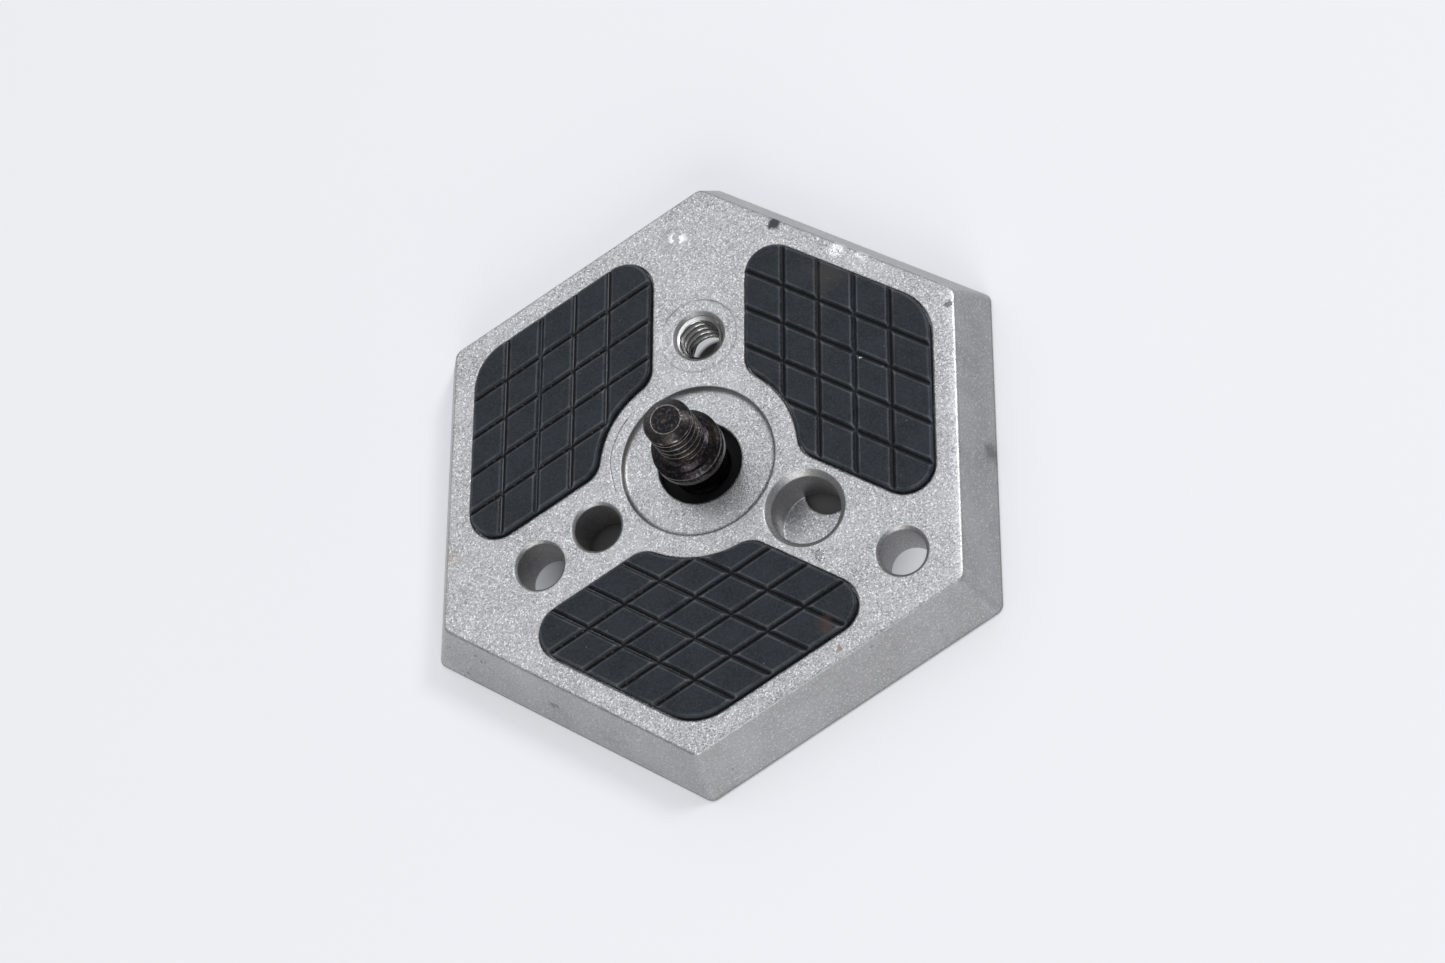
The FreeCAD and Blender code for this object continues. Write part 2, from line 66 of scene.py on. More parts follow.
def addNode(tree, kind, inputs=None, **settings):
    node = tree.nodes.new("ShaderNode" + kind)
    for name, value in settings.items():
        setattr(node, name, value)
    for name, value in (inputs or {}).items():
        setInput(tree, node.inputs[name], value)
    return node


def mathNode(tree, operation, first, second=0.0, clamp=False):
    return addNode(tree, "Math", {0: first, 1: second}, operation=operation, use_clamp=clamp).outputs[0]


def multiply(tree, first, *others):
    for other in others:
        first = mathNode(tree, "MULTIPLY", first, other)
    return first


def rampNode(tree, value, low, high, toLow=0.0, toHigh=1.0):
    return addNode(tree, "MapRange", {"Value": value, "From Min": low, "From Max": high,
                                      "To Min": toLow, "To Max": toHigh}, clamp=True).outputs[0]


def noiseNode(tree, place, size, detail):
    return addNode(tree, "TexNoise", {"Vector": place, "Scale": 1 / size, "Detail": detail}).outputs[0]


def mixColour(tree, factor, first, second):
    return addNode(tree, "Mix", {0: factor, 6: first, 7: second}, data_type="RGBA").outputs[2]


def mixValue(tree, factor, first, second):
    return addNode(tree, "Mix", {0: factor, 2: first, 3: second}, data_type="FLOAT").outputs[0]


def newGroup(name, inputs, outputs):
    tree = bpy.data.node_groups.new(name, "ShaderNodeTree")
    for label, kind, value in inputs:
        socket = tree.interface.new_socket(label, in_out="INPUT", socket_type="NodeSocket" + kind)
        if value is not None:
            socket.default_value = value
    for label, kind in outputs:
        tree.interface.new_socket(label, in_out="OUTPUT", socket_type="NodeSocket" + kind)
    entry = tree.nodes.new("NodeGroupInput").outputs
    leave = tree.nodes.new("NodeGroupOutput").inputs
    return tree, entry, leave


def setGroup(tree, group, inputs):
    return addNode(tree, "Group", inputs, node_tree=group).outputs


def newMaterial(name):
    material = bpy.data.materials.new(name)
    material.use_nodes = True
    tree = material.node_tree
    return material, tree, tree.nodes["Principled BSDF"], addNode(tree, "TexCoord").outputs


def setBump(tree, shader, height, rounded=None):
    bump = addNode(tree, "Bump", {"Height": height, "Distance": 1.0})
    if rounded is not None:
        tree.links.new(rounded, bump.inputs["Normal"])
    tree.links.new(bump.outputs[0], shader.inputs["Normal"])


# Shader groups that several finishes share

def makeGrainGroup():
    # pebbled grain: soft cells with fine noise between them
    tree, entry, leave = newGroup(
        "pebbledGrain",
        [("Vector", "Vector", None), ("Size", "Float", 0.4 * mm), ("Fineness", "Float", 0.5)],
        [("Height", "Float"), ("Tone", "Float"), ("Fleck", "Float")])
    scale = mathNode(tree, "DIVIDE", 1.0, entry["Size"])
    cells = addNode(tree, "TexVoronoi", {"Vector": entry["Vector"], "Scale": scale, "Smoothness": 0.6},
                    feature="SMOOTH_F1")
    rough = addNode(tree, "TexNoise", {"Vector": entry["Vector"], "Scale": multiply(tree, scale, 1.3),
                                       "Detail": 2.0, "Roughness": 0.6}).outputs[0]
    dome = rampNode(tree, cells.outputs["Distance"], 0.0, 0.8, 1.0, 0.0)
    tree.links.new(mixValue(tree, entry["Fineness"], dome, rough), leave["Height"])
    facets = addNode(tree, "TexVoronoi", {"Vector": entry["Vector"], "Scale": multiply(tree, scale, 1.4)})
    facet = addNode(tree, "SeparateColor", {0: facets.outputs["Color"]}).outputs
    tree.links.new(mixValue(tree, 0.45, rampNode(tree, rough, 0.3, 0.7), facet[0]), leave["Tone"])
    tree.links.new(rampNode(tree, facet[1], 0.86, 0.95), leave["Fleck"])
    return tree


def makeEdgeGroup():
    # how far the surface normal is from the rounded one: high along edges, broken up by noise
    tree, entry, leave = newGroup(
        "roundedEdgeMask",
        [("Vector", "Vector", None), ("Radius", "Float", 0.3 * mm), ("Patch Size", "Float", 1.5 * mm),
         ("Evenness", "Float", 0.5)],
        [("Mask", "Float"), ("Normal", "Vector")])
    rounded = addNode(tree, "Bevel", {"Radius": entry["Radius"]}, samples=6).outputs[0]
    straight = addNode(tree, "NewGeometry").outputs["Normal"]
    turn = addNode(tree, "VectorMath", {0: rounded, 1: straight}, operation="DOT_PRODUCT")
    edge = rampNode(tree, turn.outputs["Value"], 0.995, 0.9)
    patches = addNode(tree, "TexNoise", {"Vector": entry["Vector"], "Detail": 3.0,
                                         "Scale": mathNode(tree, "DIVIDE", 1.0, entry["Patch Size"])})
    broken = rampNode(tree, patches.outputs[0], 0.4, 0.6)
    keep = mathNode(tree, "MAXIMUM", broken, entry["Evenness"])
    tree.links.new(multiply(tree, edge, keep), leave["Mask"])
    tree.links.new(rounded, leave["Normal"])
    return tree


def makeSpotGroup():
    # one ragged spot at a place on the part
    tree, entry, leave = newGroup(
        "raggedSpot",
        [("Vector", "Vector", None), ("Centre", "Vector", (0.0, 0.0, 0.0)), ("Radius", "Float", 1.0 * mm),
         ("Raggedness", "Float", 0.4), ("Softness", "Float", 0.4)],
        [("Mask", "Float")])
    apart = addNode(tree, "VectorMath", {0: entry["Vector"], 1: entry["Centre"]}, operation="DISTANCE")
    ragged = addNode(tree, "TexNoise", {"Vector": entry["Vector"], "Detail": 3.0,
                                        "Scale": mathNode(tree, "DIVIDE", 1.2, entry["Radius"])})
    pushed = multiply(tree, mathNode(tree, "SUBTRACT", ragged.outputs[0], 0.5),
                      multiply(tree, entry["Raggedness"], 3.0))
    reach = mathNode(tree, "ADD", mathNode(tree, "DIVIDE", apart.outputs["Value"], entry["Radius"]), pushed)
    edge = mathNode(tree, "SUBTRACT", 1.0, entry["Softness"])
    fade = addNode(tree, "MapRange", {"Value": reach, "From Min": edge, "From Max": 1.0, "To Min": 1.0,
                                      "To Max": 0.0}, interpolation_type="SMOOTHSTEP")
    tree.links.new(fade.outputs[0], leave["Mask"])
    return tree


def makeSpeckGroup():
    # thinly scattered small specks, such as dust, pits or rust
    tree, entry, leave = newGroup(
        "scatteredSpecks",
        [("Vector", "Vector", None), ("Spacing", "Float", 2.0 * mm), ("Share", "Float", 0.3),
         ("Speck Size", "Float", 0.1)],
        [("Mask", "Float")])
    cells = addNode(tree, "TexVoronoi", {"Vector": entry["Vector"],
                                         "Scale": mathNode(tree, "DIVIDE", 1.0, entry["Spacing"])})
    chance = addNode(tree, "SeparateColor", {0: cells.outputs["Color"]}).outputs
    chosen = mathNode(tree, "LESS_THAN", chance[0], entry["Share"])
    size = multiply(tree, entry["Speck Size"], chance[1])
    near = mathNode(tree, "LESS_THAN", cells.outputs["Distance"], size)
    tree.links.new(multiply(tree, near, chosen), leave["Mask"])
    return tree


def makeTurnedGroup():
    # fine rings left by a lathe round the part's Z axis
    tree, entry, leave = newGroup(
        "turnedRings", [("Vector", "Vector", None), ("Pitch", "Float", 0.12 * mm)],
        [("Height", "Float"), ("Radius", "Float")])
    flat = addNode(tree, "VectorMath", {0: entry["Vector"], 1: (1.0, 1.0, 0.0)}, operation="MULTIPLY")
    radius = addNode(tree, "VectorMath", {0: flat.outputs[0]}, operation="LENGTH").outputs["Value"]
    uneven = addNode(tree, "TexNoise", {"Scale": mathNode(tree, "DIVIDE", 1.0, entry["Pitch"]),
                                        "W": radius, "Detail": 2.0}, noise_dimensions="1D")
    tree.links.new(uneven.outputs[0], leave["Height"])
    tree.links.new(radius, leave["Radius"])
    return tree


grainGroup = makeGrainGroup()
edgeGroup = makeEdgeGroup()
spotGroup = makeSpotGroup()
speckGroup = makeSpeckGroup()
turnedGroup = makeTurnedGroup()
print("shader groups made")


def setGrain(tree, place, size, fineness):
    return setGroup(tree, grainGroup, {"Vector": place, "Size": size, "Fineness": fineness})


def spotMask(tree, place, centre, radius, softness, raggedness):
    # the centre and the radius are in millimetres
    return setGroup(tree, spotGroup, {"Vector": place, "Centre": tuple(value * mm for value in centre),
                                      "Radius": radius * mm, "Softness": softness,
                                      "Raggedness": raggedness})["Mask"]


def speckMask(tree, place, spacing, share, speckSize):
    return setGroup(tree, speckGroup, {"Vector": place, "Spacing": spacing, "Share": share,
                                       "Speck Size": speckSize})["Mask"]


# Cast metal of the plate

castMetalLook = {
    "topColour": (0.73, 0.73, 0.74),
    "topDark": (0.09, 0.091, 0.094),
    "sideColour": (0.52, 0.51, 0.505),
    "sideDark": (0.30, 0.296, 0.30),
    # painted shade: colour and amount for side faces turned towards +X
    "rightSideShadeColour": (0.22, 0.222, 0.24),
    "rightSideShadeAmount": 0.3,
    "cloudColour": (0.62, 0.62, 0.64),
    "cloudAmount": 0.35,
    "cloudSize": 7 * mm,
    # painted highlight and wear: colour laid on the edges
    "paintedEdgeHighlightAndWear": (0.86, 0.86, 0.87),
    "edgeAmount": 0.55,
    "rimColour": (0.97, 0.97, 0.97),
    "rimReach": (33.0 * mm, 35.0 * mm),
    "fleckColour": (1.0, 1.0, 1.0),
    "sideFlecks": 0.3,
    "topFlecks": 0.6,
    "topRoughness": 0.38,
    "sideRoughness": 0.5,
    "fleckRoughness": 0.26,
    "chipRoughness": 0.8,
    "topGrain": 0.24 * mm,
    "sideGrain": 0.19 * mm,
    "topDepth": 0.040 * mm,
    "sideDepth": 0.014 * mm,
    "edgeRadius": 0.35 * mm,
    "raggedSize": 0.9 * mm,
    # painted shade: how far up the sides the dark foot line reaches
    "bottomShadeReach": (0.6 * mm, 0.12 * mm),

    # where each mark lies, in millimetres
    "marks": {
        "sprueScar": {"centre": (-3.9, 32.4, 7.8), "radius": 2.5, "softness": 0.5, "raggedness": 0.35},
        # painted highlight: bright bits on the right side of the raised sprue scar
        "scarHighlight": {"centre": (-3.0, 32.4, 7.8), "radius": 1.7, "softness": 0.6, "raggedness": 0.5},
        "darkChip": {"centre": (10.5, 33.0, 7.8), "radius": 1.0, "softness": 0.5, "raggedness": 0.4},
        "wornEdgeLow": {"centre": (19.2, 27.9, 7.8), "radius": 1.4, "softness": 0.5, "raggedness": 0.4},
        "wornEdgeHigh": {"centre": (22.4, 26.6, 7.8), "radius": 1.1, "softness": 0.5, "raggedness": 0.4},
        "foldMark": {"centre": (16.1, -14.9, 7.8), "radius": 1.0, "softness": 0.6, "raggedness": 0.7},
        "cornerNick": {"centre": (33.6, 17.9, 7.8), "radius": 0.6, "softness": 0.5, "raggedness": 0.9},
        "cornerBubble": {"centre": (33.3, 15.6, 7.8), "radius": 0.9, "softness": 0.9, "raggedness": 0.3},
        "sideScuff": {"centre": (-32.5, -23.3, 4.0), "radius": 4.5, "softness": 0.9, "raggedness": 0.5},
        "sideScratch": {"centre": (-20.4, -30.4, 3.5), "radius": 1.1, "softness": 0.6, "raggedness": 0.9},
        "brownSpeck": {"centre": (18.6, -27.6, 7.8), "radius": 0.45, "softness": 0.5, "raggedness": 0.8},
        "leftStain": {"centre": (-34.0, -10.0, 7.8), "radius": 2.6, "softness": 1.0, "raggedness": 0.6},
        "rimSmudge": {"centre": (37.4, -1.0, 1.3), "radius": 2.6, "softness": 1.0, "raggedness": 0.7},
        "witnessPart": {"centre": (-11.6, 2.2, 7.8), "radius": 6.2, "softness": 0.2, "raggedness": 0.1},
    },

    # how much of each colour the marks get, in the order in which they are laid on
    "tints": {
        # the scar is tinted grey: its own colour, and painted shade on its left side
        "sprueScar": (0.4, (0.4, 0.4, 0.42)),
        "scarHighlight": (0.9, (0.98, 0.98, 0.98)),
        "darkChip": (0.9, (0.09, 0.09, 0.095)),
        "witnessLine": (0.6, (0.2, 0.2, 0.21)),
        "wornEdge": (0.95, (0.99, 0.99, 0.99)),
        "foldMark": (0.6, (0.3, 0.3, 0.31)),
        "cornerNick": (0.8, (0.12, 0.12, 0.125)),
        "sideScuff": (0.8, (0.16, 0.15, 0.14)),
        "sideScratch": (0.6, (0.17, 0.16, 0.16)),
        # painted contact shadow along the foot of the sides
        "bottomContactShade": (0.8, (0.09, 0.083, 0.08)),
        "brownSpeck": (0.8, (0.27, 0.18, 0.12)),
        "leftStain": (0.35, (0.42, 0.33, 0.27)),
        "rimSmudge": (0.6, (0.12, 0.12, 0.13)),
        "pits": (0.45, (0.2, 0.2, 0.21)),
    },

    # the range of noise over which each mark is broken up
    "breaks": {
        "scarHighlight": (0.46, 0.52),
        "wornEdge": (0.36, 0.46),
        "foldMark": (0.4, 0.6),
        "sideScratch": (0.42, 0.6),
    },

    # how far the marks stand out or lie below
    "lifts": {"scar": 0.24 * mm, "fold": 0.14 * mm, "swell": 0.12 * mm, "pits": -0.08 * mm,
              "witnessLine": -0.05 * mm},

    # the fine line left round the middle recess by the mould
    "witnessLine": {"centre": (-1.86, 0.85, 7.8), "reach": 10.08 * mm, "width": 0.13 * mm,
                    "wobble": 1.2 * mm},
}


def makeWitnessLine(tree, place, cloud, up, part):
    values = castMetalLook["witnessLine"]
    centre = tuple(value * mm for value in values["centre"])
    fromCentre = addNode(tree, "VectorMath", {0: place, 1: centre}, operation="DISTANCE").outputs["Value"]
    wobble = multiply(tree, mathNode(tree, "SUBTRACT", cloud, 0.5), values["wobble"])
    off = mathNode(tree, "SUBTRACT", mathNode(tree, "ADD", fromCentre, wobble), values["reach"])
    line = rampNode(tree, mathNode(tree, "ABSOLUTE", off), 0.0, values["width"], 1.0, 0.0)
    return multiply(tree, line, part, rampNode(tree, up, 0.97, 0.99))


def makeCastMasks(tree, place, cloud, ragged, topTone, height, up):
    masks = {name: spotMask(tree, place, **mark) for name, mark in castMetalLook["marks"].items()}
    worn = mathNode(tree, "MAXIMUM", masks["wornEdgeLow"], masks["wornEdgeHigh"])
    masks["wornEdge"] = multiply(tree, worn, rampNode(tree, topTone, 0.25, 0.5))
    for name, limits in castMetalLook["breaks"].items():
        masks[name] = multiply(tree, masks[name], rampNode(tree, ragged, *limits))
    masks["sideScuff"] = multiply(tree, speckMask(tree, place, 0.7 * mm, 0.4, 0.45), masks["sideScuff"])
    masks["witnessLine"] = makeWitnessLine(tree, place, cloud, up, masks["witnessPart"])
    # painted shade: a dark line along the foot of the side faces stands for the contact shadow
    masks["bottomContactShade"] = multiply(tree, rampNode(tree, height, *castMetalLook["bottomShadeReach"]),
                                   rampNode(tree, up, -0.4, 0.0))
    masks["pits"] = speckMask(tree, place, 1.6 * mm, 0.12, 0.16)
    return masks


def makeCastMetal():
    look = castMetalLook
    material, tree, shader, coordinates = newMaterial("castMetal")
    place = coordinates["Object"]
    along = addNode(tree, "SeparateXYZ", {0: place}).outputs
    facing = addNode(tree, "SeparateXYZ", {0: coordinates["Normal"]}).outputs
    top = rampNode(tree, facing["Z"], 0.6, 0.95)
    topGrain = setGrain(tree, place, look["topGrain"], 0.6)
    sideGrain = setGrain(tree, place, look["sideGrain"], 0.8)
    cloud = noiseNode(tree, place, look["cloudSize"], 4.0)
    ragged = noiseNode(tree, place, look["raggedSize"], 3.0)
    edge = setGroup(tree, edgeGroup, {"Vector": place, "Radius": look["edgeRadius"], "Evenness": 0.6,
                                      "Patch Size": 2.0 * mm})
    masks = makeCastMasks(tree, place, cloud, ragged, topGrain["Tone"], along["Z"], facing["Z"])

    topTone = mixColour(tree, topGrain["Tone"], look["topDark"], look["topColour"])
    sideTone = mixColour(tree, sideGrain["Tone"], look["sideDark"], look["sideColour"])
    # painted shade: side faces turned towards +X are darkened
    rightFacingShade = rampNode(tree, facing["X"], 0.5, 0.9, 0.0, look["rightSideShadeAmount"])
    sideTone = mixColour(tree, rightFacingShade, sideTone, look["rightSideShadeColour"])
    colour = mixColour(tree, top, sideTone, topTone)
    colour = mixColour(tree, rampNode(tree, cloud, 0.3, 0.7, 0.0, look["cloudAmount"]), colour,
                       look["cloudColour"])
    # edges are paler: wear broken up by noise, and a painted highlight along them
    colour = mixColour(tree, multiply(tree, edge["Mask"], look["edgeAmount"]), colour, look["paintedEdgeHighlightAndWear"])
    # the top's rim along the +X side is made paler, more so on pale grains
    rightRimPaler = multiply(tree, rampNode(tree, along["X"], *look["rimReach"]), top,
                       rampNode(tree, topGrain["Tone"], 0.2, 0.6, 0.2, 0.7))
    colour = mixColour(tree, rightRimPaler, colour, look["rimColour"])
    fleck = multiply(tree, mixValue(tree, top, sideGrain["Fleck"], topGrain["Fleck"]),
                     rampNode(tree, top, 0.0, 1.0, look["sideFlecks"], look["topFlecks"]))
    colour = mixColour(tree, fleck, colour, look["fleckColour"])
    for name, (amount, tint) in look["tints"].items():
        colour = mixColour(tree, multiply(tree, masks[name], amount), colour, tint)
    tree.links.new(colour, shader.inputs["Base Color"])
    shader.inputs["Metallic"].default_value = 1.0

    roughness = mixValue(tree, top, look["sideRoughness"], look["topRoughness"])
    roughness = mixValue(tree, fleck, roughness, look["fleckRoughness"])
    roughness = mixValue(tree, masks["darkChip"], roughness, look["chipRoughness"])
    tree.links.new(roughness, shader.inputs["Roughness"])

    height = mixValue(tree, top, multiply(tree, sideGrain["Height"], look["sideDepth"]),
                      multiply(tree, topGrain["Height"], look["topDepth"]))
    bubble = multiply(tree, masks["cornerBubble"], 0.6)
    lifted = {"scar": multiply(tree, ragged, masks["sprueScar"]), "swell": cloud,
              "fold": mathNode(tree, "ADD", masks["foldMark"], bubble),
              "pits": masks["pits"], "witnessLine": masks["witnessLine"]}
    for name, lift in look["lifts"].items():
        height = mathNode(tree, "ADD", height, multiply(tree, lifted[name], lift))
    setBump(tree, shader, height, edge["Normal"])
    return material


# Rubber of the pads

rubberLook = {
    "colour": (0.004, 0.006, 0.0095),
    "pale": (0.03, 0.036, 0.045),
    # lip: paler worn rubber, together with a painted highlight along the lips
    "lip": (0.15, 0.16, 0.175),
    # groove: painted shade in the grooves; flank: painted highlight on the flanks that face the light
    "groove": (0.002, 0.0022, 0.0026),
    "flank": (0.13, 0.135, 0.145),
    "flankFacing": (0.96, 0.28, 0.0),
    "flankReach": (6 * mm, -12 * mm, 0.15, 1.0),
    "dust": (0.35, 0.35, 0.34),
    "dustAmount": 0.35,
    "roughness": 0.37,
    "grooveRoughness": 0.95,
    "flankRoughness": 0.5,
    "lipRoughness": 0.34,
    "specular": 0.3,
    "specularTint": (0.86, 0.93, 1.0, 1.0),
    "grain": 0.3 * mm,
    "depth": 0.11 * mm,
    "mottleSize": 2.6 * mm,
    "mottle": 0.11 * mm,
    # amount, colour and place of the rust, the dirt and the two crumbs
    "marks": (
        (0.5, (0.085, 0.046, 0.028),
         {"centre": (17.4, -24.7, 8.7), "radius": 1.8, "softness": 0.9, "raggedness": 0.8}),
        (0.45, (0.062, 0.05, 0.042),
         {"centre": (19.0, 25.0, 8.7), "radius": 5.5, "softness": 1.0, "raggedness": 0.8}),
        (1.0, (0.72, 0.7, 0.66),
         {"centre": (22.2, 11.5, 8.7), "radius": 0.3, "softness": 0.4, "raggedness": 0.6}),
        (1.0, (0.72, 0.7, 0.66),
         {"centre": (25.1, 9.9, 8.7), "radius": 0.3, "softness": 0.4, "raggedness": 0.6}),
    ),
}


def makeRubber():
    look = rubberLook
    material, tree, shader, coordinates = newMaterial("mouldedRubber")
    place = coordinates["Object"]
    grain = setGrain(tree, place, look["grain"], 0.7)
    cloud = noiseNode(tree, place, look["mottleSize"], 5.0)
    lip = addNode(tree, "Attribute", attribute_name="lip").outputs["Fac"]
    groove = addNode(tree, "Attribute", attribute_name="groove").outputs["Fac"]
    colour = mixColour(tree, rampNode(tree, cloud, 0.35, 0.7, 0.0, 0.5), look["colour"], look["pale"])
    colour = mixColour(tree, rampNode(tree, grain["Tone"], 0.35, 0.8, 0.0, 0.6), colour, look["pale"])
    # the lips are paler: wear, together with a painted highlight along them
    worn = multiply(tree, rampNode(tree, lip, 0.2, 0.95), rampNode(tree, cloud, 0.35, 0.6, 0.35, 0.95))
    colour = mixColour(tree, worn, colour, look["lip"])

    # painted highlight: groove flanks that face the light are paler, most of all on the left pad
    inGroove = rampNode(tree, groove, 0.1, 0.7)
    facing = addNode(tree, "VectorMath", {0: coordinates["Normal"], 1: look["flankFacing"]},
                     operation="DOT_PRODUCT").outputs["Value"]
    across = addNode(tree, "SeparateXYZ", {0: place}).outputs["X"]
    litFlank = multiply(tree, rampNode(tree, facing, 0.1, 0.4),
                        rampNode(tree, across, *look["flankReach"]))
    # painted shade: the grooves are darkened, except on the flanks with the painted highlight
    colour = mixColour(tree, inGroove, colour, mixColour(tree, litFlank, look["groove"], look["flank"]))
    dust = speckMask(tree, place, 0.9 * mm, 0.16, 0.11)
    colour = mixColour(tree, multiply(tree, dust, look["dustAmount"]), colour, look["dust"])
    for amount, tint, mark in look["marks"]:
        colour = mixColour(tree, multiply(tree, spotMask(tree, place, **mark), amount), colour, tint)
    tree.links.new(colour, shader.inputs["Base Color"])

    roughness = rampNode(tree, cloud, 0.35, 0.65, look["roughness"] - 0.08, look["roughness"] + 0.16)
    roughness = mixValue(tree, inGroove, roughness,
                         rampNode(tree, litFlank, 0.0, 1.0, look["grooveRoughness"], look["flankRoughness"]))
    roughness = mixValue(tree, worn, roughness, look["lipRoughness"])
    tree.links.new(roughness, shader.inputs["Roughness"])
    shader.inputs["Specular IOR Level"].default_value = look["specular"]
    shader.inputs["Specular Tint"].default_value = look["specularTint"]
    setBump(tree, shader, mathNode(tree, "ADD", multiply(tree, grain["Height"], look["depth"]),
                                   multiply(tree, cloud, look["mottle"])))
    return material


# Burnished black steel of the screw

screwLook = {
    "oxide": (0.0145, 0.0145, 0.019),
    "oxideWarm": (0.038, 0.031, 0.029),
    "bright": (0.42, 0.39, 0.37),
    "streakAmount": 0.15,
    "rust": (0.16, 0.06, 0.022),
    "rustAmount": 0.75,
    "pip": (0.06, 0.035, 0.022),
    "pipAmount": 0.8,
    "pipReach": (0.28 * mm, 0.16 * mm),
    "roughness": 0.28,
    "crestRoughness": 0.3,
    "depth": 0.012 * mm,
}


def makeBlackenedSteel():
    look = screwLook
    material, tree, shader, coordinates = newMaterial("blackenedSteel")
    place = coordinates["Object"]
    turned = setGroup(tree, turnedGroup, {"Vector": place, "Pitch": 0.13 * mm})
    patches = noiseNode(tree, place, 1.6 * mm, 5.0)
    fine = noiseNode(tree, place, 0.35 * mm, 4.0)
    crest = addNode(tree, "Attribute", attribute_name="crest").outputs["Fac"]
    rust = multiply(tree, speckMask(tree, place, 0.8 * mm, 0.22, 0.3), rampNode(tree, patches, 0.56, 0.66))
    pip = rampNode(tree, turned["Radius"], *look["pipReach"])
    streaks = multiply(tree, rampNode(tree, fine, 0.5, 0.7), look["streakAmount"])
    shine = multiply(tree, rampNode(tree, crest, 0.6, 1.0), rampNode(tree, fine, 0.3, 0.6, 0.45, 1.0))
    colour = mixColour(tree, rampNode(tree, patches, 0.38, 0.66), look["oxide"], look["oxideWarm"])
    for mask, tint in ((shine, look["bright"]), (streaks, look["bright"]),
                       (multiply(tree, rust, look["rustAmount"]), look["rust"]),
                       (multiply(tree, pip, look["pipAmount"]), look["pip"])):
        colour = mixColour(tree, mask, colour, tint)
    tree.links.new(colour, shader.inputs["Base Color"])
    tree.links.new(rampNode(tree, mathNode(tree, "MAXIMUM", rust, pip), 0.0, 1.0, 1.0, 0.25),
                   shader.inputs["Metallic"])
    roughness = rampNode(tree, patches, 0.3, 0.7, look["roughness"] - 0.08, look["roughness"] + 0.14)
    tree.links.new(mixValue(tree, crest, roughness, look["crestRoughness"]), shader.inputs["Roughness"])
    setBump(tree, shader, mathNode(tree, "ADD", multiply(tree, turned["Height"], look["depth"]),
                                   multiply(tree, fine, look["depth"])))
    return material


# Machined thread in the plate

threadLook = {
    # painted shade in the roots and painted highlight on the crests of the turns
    "root": (0.16, 0.155, 0.15),
    "crest": (0.97, 0.97, 0.97),
    # painted shade over the far wall of the hole, on its +X +Y side
    "holeWallShade": (0.05, 0.045, 0.04),
    "holeShadeAmount": 0.8,
    "holeShadeSpot": {"centre": (2.4, 21.0, 5.0), "radius": 3.9, "softness": 0.5, "raggedness": 0.1},
    "stain": (0.36, 0.34, 0.32),
    "roughness": (0.14, 0.24),
    "depth": 0.003 * mm,
}


def makeMachinedMetal():
    look = threadLook
    material, tree, shader, coordinates = newMaterial("machinedMetal")
    place = coordinates["Object"]
    crest = addNode(tree, "Attribute", attribute_name="crest").outputs["Fac"]
    fine = noiseNode(tree, place, 0.25 * mm, 3.0)
    # painted shade over the far wall of the hole, on its +X +Y side
    holeWallShade = multiply(tree, spotMask(tree, place, **look["holeShadeSpot"]), look["holeShadeAmount"])
    # painted highlight on the crests, painted shade in the roots
    colour = mixColour(tree, crest, look["root"], look["crest"])
    colour = mixColour(tree, holeWallShade, colour, look["holeWallShade"])
    colour = mixColour(tree, rampNode(tree, fine, 0.4, 0.7, 0.0, 0.3), colour, look["stain"])
    tree.links.new(colour, shader.inputs["Base Color"])
    shader.inputs["Metallic"].default_value = 1.0
    tree.links.new(rampNode(tree, fine, 0.3, 0.7, *look["roughness"]), shader.inputs["Roughness"])
    setBump(tree, shader, multiply(tree, fine, look["depth"]))
    return material


# Black plastic of the washer, darkened further as painted shade in the hole

washerLook = {
    "dark": (0.003, 0.003, 0.0035),
    "pale": (0.007, 0.007, 0.008),
    "roughness": (0.42, 0.6),
    "specular": 0.1,
    "turnedDepth": 0.01 * mm,
    "grainDepth": 0.006 * mm,
}


def makeBlackPlastic():
    look = washerLook
    material, tree, shader, coordinates = newMaterial("blackPlasticAndShade")
    turned = setGroup(tree, turnedGroup, {"Vector": coordinates["Object"], "Pitch": 0.25 * mm})
    grain = setGrain(tree, coordinates["Object"], 0.2 * mm, 0.8)
    tree.links.new(mixColour(tree, grain["Tone"], look["dark"], look["pale"]), shader.inputs["Base Color"])
    roughness = rampNode(tree, turned["Height"], 0.3, 0.7, *look["roughness"])
    tree.links.new(roughness, shader.inputs["Roughness"])
    shader.inputs["Specular IOR Level"].default_value = look["specular"]
    setBump(tree, shader, mathNode(tree, "ADD", multiply(tree, turned["Height"], look["turnedDepth"]),
                                   multiply(tree, grain["Height"], look["grainDepth"])))
    return material


# Dull plating of the handle

handleLook = {
    "plating": (0.52, 0.52, 0.51),
    "dull": (0.36, 0.355, 0.345),
    "edge": (0.8, 0.79, 0.77),
    "edgeAmount": 0.7,
    "edgeRadius": 0.25 * mm,
    "rust": (0.3, 0.15, 0.07),
    "rustAmount": 0.5,
    "roughness": (0.3, 0.46),
    "depth": 0.01 * mm,
}


